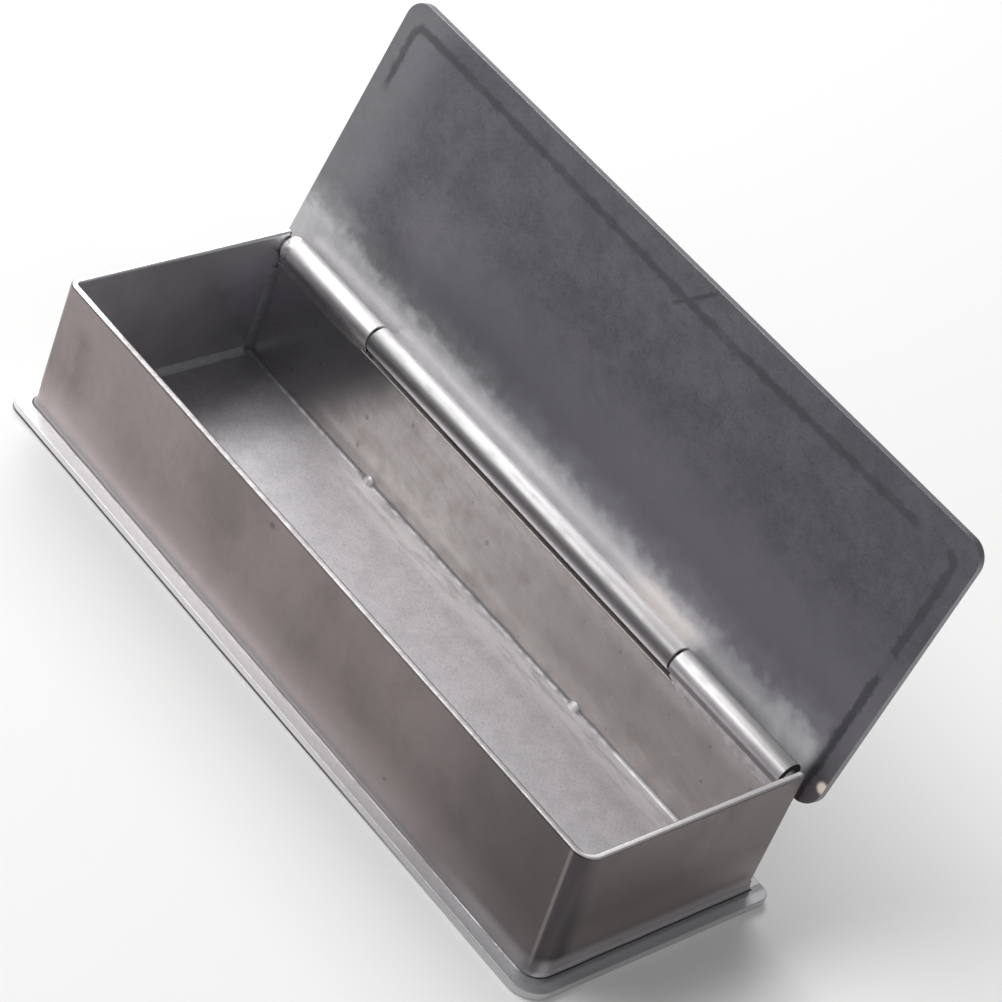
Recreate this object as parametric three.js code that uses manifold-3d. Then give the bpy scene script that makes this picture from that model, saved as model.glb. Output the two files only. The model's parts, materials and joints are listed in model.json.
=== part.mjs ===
// A small sheet-metal toothpick box with a flat lid on a three-knuckle tube hinge, lid open.
// Millimetres, +Z up. X runs along the box, +Y towards the hinge.
// The origin is the centre of the base plate's underside.

import * as THREE from 'three';
import { mergeVertices } from 'three/addons/utils/BufferGeometryUtils.js';
import Module from 'manifold-3d';

// Driving dimensions: box
const BODY_LENGTH = 70; // outside of the walls, along X
const BODY_DEPTH = 23.8; // outside of the walls, along Y
const RIM_HEIGHT = 14.2; // underside of the base plate to the rim
const WALL = 0.7; // sheet of the walls
const LEFT_BEND_INSIDE = 0.3; // inside radius of the front left corner, folded sharp
const RIGHT_BEND_INSIDE = 1.1; // inside radius of the front right corner
const BASE_THICK = 0.8;
const BASE_FLANGE = 1.5; // how far the base plate stands out past the walls
const BASE_CORNER = 2; // corner radius of the base plate
const PLATE_EASING = 0.2; // softened edge of the base plate and the lid

// Driving dimensions: lid
const LID_THICK = 0.75;
const LID_CORNER = 1.9; // corner radius of the lid
const LID_END_OVERHANG = 1.2; // past the outside of each end wall
const LID_FRONT_OVERHANG = 1.5; // past the outside of the front wall, lid closed
const LID_LIP = 1.9; // lid behind the hinge axis
const LID_SEAT_GAP = 0.05; // lid over the rim, lid closed
const LID_OPEN_DEGREES = 103;

// Driving dimensions: hinge
const TUBE_RADIUS = 1.25;
const BORE_RADIUS = 0.7;
const PIN_CLEARANCE = 0.08; // radial, pin in bore
const PIN_RECESS = 0.5; // pin ends inside the tube ends
const HINGE_INSET = 0.1; // axis in front of the back wall's outer face
const LEFT_KNUCKLE = 12.6; // length
const RIGHT_KNUCKLE = 13.6; // length
const LEFT_END_GAP = 0.4; // tube end to the left wall, filled by a lump of solder
const RIGHT_END_GAP = 0.6; // tube end to the right wall, left open
const KNUCKLE_GAP = 0.2; // between neighbouring knuckles
const TUBE_EASING = 0.08; // softened ends of the tubes
const WALL_RUN_GAP = 0.15; // tube over the back wall's top edge

// Driving dimensions: solder
const SEAM_LEG = 0.6; // fillets between the walls and the floor, and in the corners
const FOOT_LEG = 0.5; // fillet round the outside foot of the walls
const SOLDER_LINE = 0.2; // tube to lid
const SOLDER_SKIN = 0.05; // gap left between a tube and the solder it sits in
const SADDLE_INNER_DROP = 0.9; // saddle down the back wall's inner face
const SADDLE_OUTER_DROP = 0.5; // saddle down the back wall's outer face
const SADDLE_REACH_DEGREES = 50; // saddle up the tube, each way from straight down
const LID_SOLDER_FRONT = 0.9; // lid solder in front of the axis
const LID_SOLDER_REAR = 0.8; // lid solder behind the axis
const LID_SOLDER_REACH_DEGREES = 30; // lid solder round the tube, each way from the lid
const END_LUMP_SWELL = 0.1; // lump at the left tube end, past the tube's radius
const TACK_RADIUS = 0.7; // lumps on the floor seam
const TACK_LENGTH = 1.3; // half length of a lump, along X
const TACK_FROM_LEFT = [18.4, 47.4]; // lump centres from the left wall's inner face
const FILLET_HOLLOW = 0.2; // how near a fillet's face bows to its corner, as a share of its leg
const LEAST_BEND = 0.05; // radius left in a bend that a fillet fills
const EASING_SHARE = 0.3; // the most of a plate's thickness that one softened edge may take

// Facets
const ARC_STEPS = 8; // per quarter of a rounded corner
const TUBE_SIDES = 48;
const SADDLE_STEPS = 10;
const SEAM_STEPS = 4;
const TACK_SIDES = 16;
const EASING_STEPS = 2;

// Places worked out from the driving dimensions
const halfLength = BODY_LENGTH / 2;
const halfDepth = BODY_DEPTH / 2;
const innerHalfLength = halfLength - WALL;
const innerHalfDepth = halfDepth - WALL;
const lidFaceFromAxis = TUBE_RADIUS + SOLDER_LINE;
const hingeY = halfDepth - HINGE_INSET;
const hingeZ = RIM_HEIGHT + LID_SEAT_GAP - lidFaceFromAxis;
const backWallTop = hingeZ - TUBE_RADIUS - WALL_RUN_GAP;
const solderRadius = TUBE_RADIUS + SOLDER_SKIN;
const tubeLeft = -innerHalfLength + LEFT_END_GAP;
const tubeRight = innerHalfLength - RIGHT_END_GAP;
const leftJoint = tubeLeft + LEFT_KNUCKLE;
const rightJoint = tubeRight - RIGHT_KNUCKLE;
const radians = THREE.MathUtils.degToRad;

const sheetMetal = new THREE.MeshStandardMaterial({ color: 0x8f8a87, roughness: 0.42, metalness: 1 });
const lidMetal = new THREE.MeshStandardMaterial({ color: 0x77767a, roughness: 0.45, metalness: 1 });
const tubeMetal = new THREE.MeshStandardMaterial({ color: 0xd6d2cf, roughness: 0.2, metalness: 1 });
const solderMetal = new THREE.MeshStandardMaterial({ color: 0xb4b1b0, roughness: 0.38, metalness: 1 });

const wasm = await Module();
wasm.setup();

// Booleans

function toSolid(geometry) {
  const bare = geometry.clone();
  bare.deleteAttribute('normal');
  bare.deleteAttribute('uv');
  const merged = mergeVertices(bare, 1e-4);
  const mesh = new wasm.Mesh({
    numProp: 3,
    vertProperties: new Float32Array(merged.attributes.position.array),
    triVerts: new Uint32Array(merged.index.array),
  });
  return new wasm.Manifold(mesh);
}

function toGeometry(solid) {
  const mesh = solid.getMesh();
  const geometry = new THREE.BufferGeometry();
  geometry.setAttribute('position', new THREE.BufferAttribute(new Float32Array(mesh.vertProperties), 3));
  geometry.setIndex(new THREE.BufferAttribute(new Uint32Array(mesh.triVerts), 1));
  geometry.computeVertexNormals();
  return geometry;
}

// Shapes

function roundedRectangle(x0, x1, y0, y1, radius) {
  const shape = new THREE.Shape();
  shape.moveTo(x0 + radius, y0);
  shape.lineTo(x1 - radius, y0);
  shape.absarc(x1 - radius, y0 + radius, radius, -Math.PI / 2, 0, false);
  shape.lineTo(x1, y1 - radius);
  shape.absarc(x1 - radius, y1 - radius, radius, 0, Math.PI / 2, false);
  shape.lineTo(x0 + radius, y1);
  shape.absarc(x0 + radius, y1 - radius, radius, Math.PI / 2, Math.PI, false);
  shape.lineTo(x0, y0 + radius);
  shape.absarc(x0 + radius, y0 + radius, radius, Math.PI, 1.5 * Math.PI, false);
  return shape;
}

// A flat plate with its underside at z = 0 and both edges softened.
function plate(shape, thick) {
  const easing = Math.min(PLATE_EASING, EASING_SHARE * thick);
  const geometry = new THREE.ExtrudeGeometry(shape, {
    depth: thick - 2 * easing,
    curveSegments: ARC_STEPS / 2,
    bevelEnabled: true,
    bevelThickness: easing,
    bevelSize: easing,
    bevelOffset: -easing,
    bevelSegments: EASING_STEPS,
  });
  return geometry.translate(0, 0, easing);
}

// An upright prism of a plan shape, from one height to another.
function prism(shape, low, high) {
  const settings = { depth: high - low, bevelEnabled: false };
  return new THREE.ExtrudeGeometry(shape, settings).translate(0, 0, low);
}

// A bar along X whose section is a list of (y, z) points.
function barAlongX(section, x0, x1) {
  const settings = { depth: x1 - x0, bevelEnabled: false };
  const geometry = new THREE.ExtrudeGeometry(new THREE.Shape(section), settings);
  const cycleAxes = new THREE.Matrix4().set(0, 0, 1, x0, 1, 0, 0, 0, 0, 1, 0, 0, 0, 0, 0, 1);
  return geometry.applyMatrix4(cycleAxes);
}

// A solid turned about X, from a profile of (radius, x) points.
function turnedAlongX(profile) {
  const points = profile.map(([radius, x]) => new THREE.Vector2(radius, x));
  return new THREE.LatheGeometry(points, TUBE_SIDES).rotateZ(-Math.PI / 2);
}

function knuckle(x0, x1) {
  return turnedAlongX([
    [BORE_RADIUS, x0],
    [TUBE_RADIUS - TUBE_EASING, x0],
    [TUBE_RADIUS, x0 + TUBE_EASING],
    [TUBE_RADIUS, x1 - TUBE_EASING],
    [TUBE_RADIUS - TUBE_EASING, x1],
    [BORE_RADIUS, x1],
    [BORE_RADIUS, x0],
  ]);
}

// Points of an arc about the origin, between two angles in degrees.
function arcPoints(radius, fromDegrees, toDegrees, steps) {
  const points = [];
  for (let step = 0; step <= steps; step += 1) {
    const angle = radians(fromDegrees + ((toDegrees - fromDegrees) * step) / steps);
    points.push(new THREE.Vector2(radius * Math.cos(angle), radius * Math.sin(angle)));
  }
  return points;
}

// The hollow face of a fillet: from its toe on the floor to its top on the wall, as (run, rise) points.
function filletFace(leg) {
  const dip = FILLET_HOLLOW * leg;
  const curve = new THREE.QuadraticBezierCurve(
    new THREE.Vector2(leg, 0),
    new THREE.Vector2(dip, dip),
    new THREE.Vector2(0, leg),
  );
  return curve.getPoints(SEAM_STEPS);
}

// A front corner of the walls at a distance from their outer face. side is -1 for left and 1 for right.
function frontCorner(side, insideRadius, outset) {
  const radius = Math.max(insideRadius + WALL + outset, LEAST_BEND);
  const centreX = side * (halfLength + outset - radius);
  const centreY = -(halfDepth + outset - radius);
  const start = side < 0 ? 180 : 270;
  const arc = arcPoints(radius, start, start + 90, ARC_STEPS);
  return arc.map((point) => new THREE.Vector2(point.x + centreX, point.y + centreY));
}

// Plan of the walls at a distance from their outer face, as a ring of points that runs anticlockwise.
// The front corners are round and the back corners square.
function wallRing(outset) {
  const right = halfLength + outset;
  const back = halfDepth + outset;
  return [
    new THREE.Vector2(-right, back),
    ...frontCorner(-1, LEFT_BEND_INSIDE, outset),
    ...frontCorner(1, RIGHT_BEND_INSIDE, outset),
    new THREE.Vector2(right, back),
  ];
}

// A seam that runs once round the walls: profile points are (outset from the outer face, z).
function seamLoop(profile) {
  const rings = profile.map(([outset, z]) => wallRing(outset).map((point) => [point.x, point.y, z]));
  const around = rings[0].length;
  const index = [];
  for (let level = 0; level < rings.length; level += 1) {
    const next = (level + 1) % rings.length;
    for (let step = 0; step < around; step += 1) {
      const ahead = (step + 1) % around;
      const a = level * around + step;
      const b = level * around + ahead;
      const c = next * around + ahead;
      const d = next * around + step;
      index.push(a, b, c, a, c, d);
    }
  }
  const geometry = new THREE.BufferGeometry();
  geometry.setAttribute('position', new THREE.Float32BufferAttribute(rings.flat(2), 3));
  geometry.setIndex(index);
  geometry.computeVertexNormals();
  return geometry;
}

// Box pieces

function basePlate() {
  const x = halfLength + BASE_FLANGE;
  const y = halfDepth + BASE_FLANGE;
  return plate(roundedRectangle(-x, x, -y, y, BASE_CORNER), BASE_THICK);
}

function wallBand() {
  const outer = wallRing(0);
  const inner = wallRing(-WALL);
  inner[0].y = halfDepth;
  inner[inner.length - 1].y = halfDepth;
  return prism(new THREE.Shape([...outer, ...inner.reverse()]), BASE_THICK, RIM_HEIGHT);
}

function backWall() {
  const section = [
    new THREE.Vector2(innerHalfDepth, BASE_THICK),
    new THREE.Vector2(halfDepth, BASE_THICK),
    new THREE.Vector2(halfDepth, backWallTop),
    new THREE.Vector2(innerHalfDepth, backWallTop),
  ];
  return barAlongX(section, -innerHalfLength, innerHalfLength);
}

// Solder on the box

function tack(fromLeft) {
  const lump = new THREE.SphereGeometry(TACK_RADIUS, TACK_SIDES, TACK_SIDES / 2);
  lump.scale(TACK_LENGTH / TACK_RADIUS, 1, 1);
  lump.translate(-innerHalfLength + fromLeft, innerHalfDepth, BASE_THICK);
  return toSolid(lump);
}

// The part of the box's inside that the lumps may fill: in front of the back wall and above the floor.
function insideCorner() {
  const size = 4 * TACK_RADIUS;
  const corner = new THREE.BoxGeometry(BODY_LENGTH, size, size);
  return toSolid(corner.translate(0, innerHalfDepth - size / 2, BASE_THICK + size / 2));
}

function floorSeam() {
  const face = filletFace(SEAM_LEG).map((point) => [-WALL - point.x, BASE_THICK + point.y]);
  const loop = toSolid(seamLoop([[-WALL, BASE_THICK], ...face.reverse()]));
  const lumps = TACK_FROM_LEFT.map((fromLeft) => tack(fromLeft).intersect(insideCorner()));
  return toGeometry(lumps.reduce((sum, lump) => sum.add(lump), loop));
}

function footSeam() {
  const face = filletFace(FOOT_LEG).map((point) => [point.x, BASE_THICK + point.y]);
  return seamLoop([[0, BASE_THICK], ...face]);
}

// side is -1 for the left corner and 1 for the right one.
function cornerSeam(side, top) {
  const face = filletFace(SEAM_LEG).map(
    (point) => new THREE.Vector2(side * (innerHalfLength - point.x), innerHalfDepth - point.y),
  );
  const corner = new THREE.Vector2(side * innerHalfLength, innerHalfDepth);
  return prism(new THREE.Shape([corner, ...face]), BASE_THICK + SEAM_LEG, top);
}

// Section of the solder that seats a knuckle on the back wall's top edge, about the hinge axis.
function saddleSection() {
  const inner = innerHalfDepth - hingeY;
  const outer = halfDepth - hingeY;
  const top = backWallTop - hingeZ;
  const underTube = arcPoints(solderRadius, 270 + SADDLE_REACH_DEGREES, 270 - SADDLE_REACH_DEGREES, SADDLE_STEPS);
  return [
    ...underTube,
    new THREE.Vector2(inner, top - SADDLE_INNER_DROP),
    new THREE.Vector2(inner, top),
    new THREE.Vector2(outer, top),
    new THREE.Vector2(outer, top - SADDLE_OUTER_DROP),
  ];
}

function rightSaddle() {
  return barAlongX(saddleSection(), rightJoint, tubeRight);
}

function leftSaddle() {
  const saddle = barAlongX(saddleSection(), -innerHalfLength, leftJoint);
  const swollen = solderRadius + END_LUMP_SWELL;
  const lump = turnedAlongX([
    [0, -innerHalfLength],
    [swollen, -innerHalfLength],
    [swollen, tubeLeft - SOLDER_SKIN],
    [0, tubeLeft - SOLDER_SKIN],
  ]);
  const aboveWall = new THREE.BoxGeometry(BODY_LENGTH, BODY_DEPTH, 2 * RIM_HEIGHT);
  aboveWall.translate(0, 0, backWallTop - hingeZ + RIM_HEIGHT);
  return toGeometry(toSolid(saddle).add(toSolid(lump).intersect(toSolid(aboveWall))));
}

// Hinge pieces, about the hinge axis

function hingePin() {
  const radius = BORE_RADIUS - PIN_CLEARANCE;
  return turnedAlongX([
    [0, tubeLeft + PIN_RECESS],
    [radius, tubeLeft + PIN_RECESS],
    [radius, tubeRight - PIN_RECESS],
    [0, tubeRight - PIN_RECESS],
  ]);
}

// Lid pieces, about the hinge axis with the lid closed

function lidPlate() {
  const x = halfLength + LID_END_OVERHANG;
  const front = -halfDepth - LID_FRONT_OVERHANG - hingeY;
  const outline = roundedRectangle(-x, x, front, LID_LIP, LID_CORNER);
  return plate(outline, LID_THICK).translate(0, 0, lidFaceFromAxis);
}

function lidSolder() {
  const seat = lidFaceFromAxis - SOLDER_SKIN / 2;
  const reach = LID_SOLDER_REACH_DEGREES;
  const section = [
    ...arcPoints(solderRadius, 90 - reach, 90 + reach, SADDLE_STEPS),
    new THREE.Vector2(-LID_SOLDER_FRONT, seat),
    new THREE.Vector2(LID_SOLDER_REAR, seat),
  ];
  return barAlongX(section, leftJoint + KNUCKLE_GAP, rightJoint - KNUCKLE_GAP);
}

// Assembly

function addPiece(group, name, geometry, material) {
  const mesh = new THREE.Mesh(geometry, material);
  mesh.name = name;
  group.add(mesh);
}

const box = new THREE.Group();
addPiece(box, 'base_plate', basePlate(), sheetMetal);
addPiece(box, 'wall_band', wallBand(), sheetMetal);
addPiece(box, 'back_wall', backWall(), sheetMetal);
addPiece(box, 'floor_seam', floorSeam(), solderMetal);
addPiece(box, 'foot_seam', footSeam(), solderMetal);
addPiece(box, 'left_corner_seam', cornerSeam(-1, backWallTop - SADDLE_INNER_DROP), solderMetal);
addPiece(box, 'right_corner_seam', cornerSeam(1, backWallTop), solderMetal);

const hinge = new THREE.Group();
hinge.position.set(0, hingeY, hingeZ);
addPiece(hinge, 'left_knuckle', knuckle(tubeLeft, leftJoint), tubeMetal);
addPiece(hinge, 'right_knuckle', knuckle(rightJoint, tubeRight), tubeMetal);
addPiece(hinge, 'left_knuckle_solder', leftSaddle(), solderMetal);
addPiece(hinge, 'right_knuckle_solder', rightSaddle(), solderMetal);
addPiece(hinge, 'hinge_pin', hingePin(), tubeMetal);

const lid = new THREE.Group();
lid.position.copy(hinge.position);
lid.rotation.x = -radians(LID_OPEN_DEGREES);
addPiece(lid, 'lid_plate', lidPlate(), lidMetal);
addPiece(lid, 'lid_knuckle', knuckle(leftJoint + KNUCKLE_GAP, rightJoint - KNUCKLE_GAP), tubeMetal);
addPiece(lid, 'lid_knuckle_solder', lidSolder(), solderMetal);

const toothpickBox = new THREE.Group();
toothpickBox.add(box, hinge, lid);

export default toothpickBox;
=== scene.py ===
# A small sheet-metal toothpick box with a flat lid on a tube hinge, lid open.
import json
import math

import bmesh
import bpy
from mathutils import Matrix, Quaternion, Vector, noise


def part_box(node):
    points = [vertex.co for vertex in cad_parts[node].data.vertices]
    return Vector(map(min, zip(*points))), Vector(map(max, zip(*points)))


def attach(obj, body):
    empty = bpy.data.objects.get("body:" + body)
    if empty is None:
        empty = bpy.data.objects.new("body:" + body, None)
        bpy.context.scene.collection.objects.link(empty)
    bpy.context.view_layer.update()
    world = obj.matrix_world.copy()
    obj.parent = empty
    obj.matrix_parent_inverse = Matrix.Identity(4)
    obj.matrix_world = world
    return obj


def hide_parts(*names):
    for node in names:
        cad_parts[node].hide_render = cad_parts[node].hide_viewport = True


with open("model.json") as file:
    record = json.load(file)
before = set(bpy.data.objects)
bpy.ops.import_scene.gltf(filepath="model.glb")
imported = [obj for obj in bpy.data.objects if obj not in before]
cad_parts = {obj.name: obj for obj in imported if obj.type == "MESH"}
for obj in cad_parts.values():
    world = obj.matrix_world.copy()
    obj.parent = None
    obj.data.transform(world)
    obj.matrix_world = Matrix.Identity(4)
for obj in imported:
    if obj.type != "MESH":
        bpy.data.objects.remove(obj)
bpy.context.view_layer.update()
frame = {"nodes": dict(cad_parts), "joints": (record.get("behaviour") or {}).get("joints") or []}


# Base plate: flat sheet cut with rounded corners, its edge filed round and bright.
# The walls are soldered onto it, so its middle is the box's floor and its margin a flange.
# It has the dull, sandy face of pickled metal. Painted shade darkens the flange towards the right.
MM = 0.001
BASE_CORNERS = [2.5 * MM, 1.1 * MM, 2 * MM, 1.8 * MM]  # front right, back right, back left, front left
EDGE_IN = 0.08 * MM  # how far the filing goes in from the edge
EDGE_DOWN = 0.08 * MM  # and down the side
UNDER_EASING = 0.08 * MM
EDGE_STEPS = 4
SHARP_EDGE = math.radians(40)  # edges that turn by more than this stay sharp
CORNER_STEPS = 14
LEFT_BEND = 1.0 * MM  # outer radius of the walls' front left corner
RIGHT_BEND = 1.8 * MM  # and of the front right corner
FLOOR_LIGHT = (0.6, 0.578, 0.598, 1)
FLOOR_DULL = (0.54, 0.52, 0.537, 1)
FLOOR_SPECK = (0.4, 0.385, 0.398, 1)
FLOOR_SCRAPED = (0.84, 0.815, 0.835, 1)
FLANGE_BRIGHT = (0.96, 0.965, 0.97, 1)
FLANGE_SHADE = (0.54, 0.545, 0.56, 1)
SIDE_BRIGHT = (0.92, 0.905, 0.91, 1)
SIDE_SHADE = (0.6, 0.582, 0.594, 1)
SIDE_DARK = (0.1, 0.096, 0.1, 1)

base_low, base_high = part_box("base_plate")
band_low, band_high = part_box("wall_band")
back_low, back_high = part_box("back_wall")
WALL = back_high.y - back_low.y


def rounded_outline(low, high, radii):
    """Points of a rounded rectangle in plan, anticlockwise from its front right corner."""
    front_right, back_right, back_left, front_left = radii
    corners = (
        (high.x - front_right, low.y + front_right, front_right, -90),
        (high.x - back_right, high.y - back_right, back_right, 0),
        (low.x + back_left, high.y - back_left, back_left, 90),
        (low.x + front_left, low.y + front_left, front_left, 180),
    )
    points = []
    for x, y, radius, start in corners:
        for step in range(CORNER_STEPS + 1):
            angle = math.radians(start + 90 * step / CORNER_STEPS)
            points.append((x + radius * math.cos(angle), y + radius * math.sin(angle)))
    return points


def loft(sections, closed=False):
    """Points and faces of a solid through a row of sections that have the same number of points.
    A closed row comes back to its first section. An open one gets a flat cap at each end."""
    count = len(sections[0])
    rows = len(sections)
    points = [point for section in sections for point in section]
    faces = []
    for row in range(rows if closed else rows - 1):
        here = row * count
        ahead = (row + 1) % rows * count
        for step in range(count):
            beside = (step + 1) % count
            faces.append((here + step, here + beside, ahead + beside, ahead + step))
    if not closed:
        faces.append(tuple(range(count)))
        faces.append(tuple(range((rows - 1) * count, rows * count)))
    return points, faces


def new_piece(name, solid):
    """A mesh object made of a solid's points and faces, smooth shaded, with its faces turned out."""
    mesh = bpy.data.meshes.new(name)
    mesh.from_pydata(solid[0], [], solid[1])
    shape = bmesh.new()
    shape.from_mesh(mesh)
    bmesh.ops.recalc_face_normals(shape, faces=shape.faces)
    shape.to_mesh(mesh)
    shape.free()
    mesh.shade_smooth()
    piece = bpy.data.objects.new(name, mesh)
    bpy.context.scene.collection.objects.link(piece)
    return piece


def file_edges(piece, easing):
    """Rounds a piece's sharp edges as a file does."""
    bevel = piece.modifiers.new("filed_edges", "BEVEL")
    bevel.width = easing
    bevel.segments = EDGE_STEPS
    bevel.limit_method = "ANGLE"
    bevel.angle_limit = SHARP_EDGE
    bevel.harden_normals = True


def set_socket(tree, socket, value):
    """Links a socket to another one, or sets its value."""
    if isinstance(value, bpy.types.NodeSocket):
        tree.links.new(value, socket)
    else:
        socket.default_value = value


def add_node(tree, kind, inputs=None, **settings):
    """A shader node with its settings and inputs."""
    node = tree.nodes.new(kind)
    for key, value in settings.items():
        setattr(node, key, value)
    for socket, value in (inputs or {}).items():
        set_socket(tree, node.inputs[socket], value)
    return node


def math_step(tree, operation, first, second=0.0):
    """The result of one step of arithmetic."""
    return add_node(tree, "ShaderNodeMath", {0: first, 1: second}, operation=operation).outputs[0]


def product(tree, first, *others):
    """Values multiplied together."""
    for other in others:
        first = math_step(tree, "MULTIPLY", first, other)
    return first


def ramp(tree, value, low, high, start=0.0, end=1.0):
    """A value eased from start, at low, to end, at high."""
    inputs = {"Value": value, "From Min": low, "From Max": high, "To Min": start, "To Max": end}
    return add_node(tree, "ShaderNodeMapRange", inputs, interpolation_type="SMOOTHSTEP").outputs[0]


def between(tree, mask, start, end):
    """A value that is start where a mask is 0 and end where it is 1."""
    return ramp(tree, mask, 0.0, 1.0, start, end)


def band(tree, value, start, full, ease, end):
    """A mask that is 1 while a value is between full and ease, and 0 before start and after end."""
    return product(tree, ramp(tree, value, start, full), ramp(tree, value, end, ease))


def mix_colours(tree, mask, first, second, share=1.0):
    """The first colour where the mask is 0 and the second, at a share of its strength, where it is 1."""
    if share < 1:
        mask = product(tree, mask, share)
    return add_node(tree, "ShaderNodeMix", {0: mask, 6: first, 7: second}, data_type="RGBA").outputs[2]


def layered(tree, colour, layers):
    """A colour with others laid over it in turn. A layer is a mask, a colour and a share of its strength."""
    for mask, second, share in layers:
        colour = mix_colours(tree, mask, colour, second, share)
    return colour


def split(tree, place):
    """The x, y and z of a place."""
    return add_node(tree, "ShaderNodeSeparateXYZ", {0: place}).outputs


def vector_step(tree, operation, first, second=(0, 0, 0)):
    """The outputs of one step of arithmetic with places."""
    return add_node(tree, "ShaderNodeVectorMath", {0: first, 1: second}, operation=operation).outputs


def stretch(tree, place, x, y, z):
    """A place with each direction scaled by itself."""
    return vector_step(tree, "MULTIPLY", place, (x, y, z))["Vector"]


def shader_group(name, inputs, output):
    """A new node group with a Place input in millimetres, named number inputs and one named output."""
    group = bpy.data.node_groups.new(name, "ShaderNodeTree")
    group.interface.new_socket("Place", in_out="INPUT", socket_type="NodeSocketVector")
    for socket, value in inputs.items():
        made = group.interface.new_socket(socket, in_out="INPUT", socket_type="NodeSocketFloat")
        made.default_value = value
    group.interface.new_socket(output, in_out="OUTPUT", socket_type="NodeSocketFloat")
    return group, add_node(group, "NodeGroupInput").outputs


def close_group(group, result):
    """Links a group's result to its output."""
    add_node(group, "NodeGroupOutput", {0: result})


def use_group(tree, group, **inputs):
    """The output of a node group placed in a material."""
    return add_node(tree, "ShaderNodeGroup", inputs, node_tree=group).outputs[0]


# Mottle: soft cloudy patches of about the size Patch, such as handling marks and uneven oxide.
mottle, given = shader_group("mottle", {"Patch": 2.0, "Low": 0.4, "High": 0.65, "Detail": 4.0}, "Mask")
cloud_inputs = {
    "Vector": given["Place"],
    "Scale": math_step(mottle, "DIVIDE", 1.0, given["Patch"]),
    "Detail": given["Detail"],
    "Roughness": 0.58,
}
cloud = add_node(mottle, "ShaderNodeTexNoise", cloud_inputs)
close_group(mottle, ramp(mottle, cloud.outputs["Fac"], given["Low"], given["High"]))

# Tooth: the fine sandy grain of satin metal, one grain about Size across.
tooth, given = shader_group("tooth", {"Size": 0.2}, "Height")
tooth_inputs = {
    "Vector": given["Place"],
    "Scale": math_step(tooth, "DIVIDE", 1.0, given["Size"]),
    "Detail": 2.0,
    "Roughness": 0.6,
}
grains = add_node(tooth, "ShaderNodeTexNoise", tooth_inputs)
close_group(tooth, grains.outputs["Fac"])

# Specks: a few small round spots on a flat face, by its X and Y. There is one to a cell of about Spacing
# at most, and its radius is Radius of a cell or less.
specks, given = shader_group("specks", {"Spacing": 3.0, "Radius": 0.12, "Share": 0.3}, "Mask")
speck_inputs = {
    "Vector": given["Place"],
    "Scale": math_step(specks, "DIVIDE", 1.0, given["Spacing"]),
}
cells = add_node(specks, "ShaderNodeTexVoronoi", speck_inputs, voronoi_dimensions="2D")
chance = split(specks, cells.outputs["Color"])
width = product(specks, given["Radius"], chance["Y"])
round_spot = ramp(specks, cells.outputs["Distance"], width, product(specks, width, 0.4))
chosen = math_step(specks, "LESS_THAN", chance["X"], given["Share"])
close_group(specks, product(specks, round_spot, chosen))

# Inside: 1 within the middle of the walls' thickness, cut across at the front bends, and 0 outside it.
inside_walls, given = shader_group("inside_walls", {}, "Mask")
place = split(inside_walls, given["Place"])
from_middle = math_step(inside_walls, "ABSOLUTE", place["X"])
within_length = math_step(inside_walls, "LESS_THAN", from_middle, (band_high.x - WALL / 2) / MM)
within_depth = math_step(inside_walls, "ABSOLUTE", place["Y"])
within_depth = math_step(inside_walls, "LESS_THAN", within_depth, (band_high.y - WALL / 2) / MM)
bend_reach = band_high.x - band_low.y - 2 * RIGHT_BEND + (RIGHT_BEND - WALL / 2) * math.sqrt(2)
across_bend = math_step(inside_walls, "SUBTRACT", from_middle, place["Y"])
within_bend = math_step(inside_walls, "LESS_THAN", across_bend, bend_reach / MM)
close_group(inside_walls, product(inside_walls, within_length, within_depth, within_bend))


def new_metal(name):
    """A metal material: its node tree, its shader, and the place on the piece in millimetres."""
    material = bpy.data.materials.new(name)
    material.use_nodes = True
    tree = material.node_tree
    shader = tree.nodes["Principled BSDF"]
    shader.inputs["Metallic"].default_value = 1.0
    place = add_node(tree, "ShaderNodeTexCoord").outputs["Object"]
    return material, tree, shader, stretch(tree, place, 1 / MM, 1 / MM, 1 / MM)


def add_bump(tree, shader, height, depth):
    """Raises the surface by a height between 0 and 1, times a depth."""
    bump = add_node(tree, "ShaderNodeBump", {"Height": height, "Distance": depth})
    set_socket(tree, shader.inputs["Normal"], bump.outputs["Normal"])


def place_piece(piece, body, node):
    """Lets a piece ride on a body in place of a CAD node."""
    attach(piece, body)
    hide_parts(node)


def finish_piece(piece, metal, body, node):
    """Keeps a piece's sharp edges, and gives it its metal and its place."""
    piece.data.set_sharp_from_angle(angle=SHARP_EDGE)
    piece.data.materials.append(metal)
    place_piece(piece, body, node)


def base_section(z, inset):
    """The base plate's outline at a height, drawn in from its edge."""
    margin = Vector((inset, inset, 0))
    radii = [radius - inset for radius in BASE_CORNERS]
    return [(x, y, z) for x, y in rounded_outline(base_low + margin, base_high - margin, radii)]


base_sections = [base_section(base_low.z, UNDER_EASING), base_section(base_low.z + UNDER_EASING, 0)]
for step in range(EDGE_STEPS + 1):
    angle = math.radians(90 * step / EDGE_STEPS)
    drop = EDGE_DOWN * (1 - math.sin(angle))
    base_sections.append(base_section(base_high.z - drop, EDGE_IN * (1 - math.cos(angle))))
floor_sheet = new_piece("floor_sheet", loft(base_sections))
floor_sheet.modifiers.new("flat_faces", "WEIGHTED_NORMAL").keep_sharp = True

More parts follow.
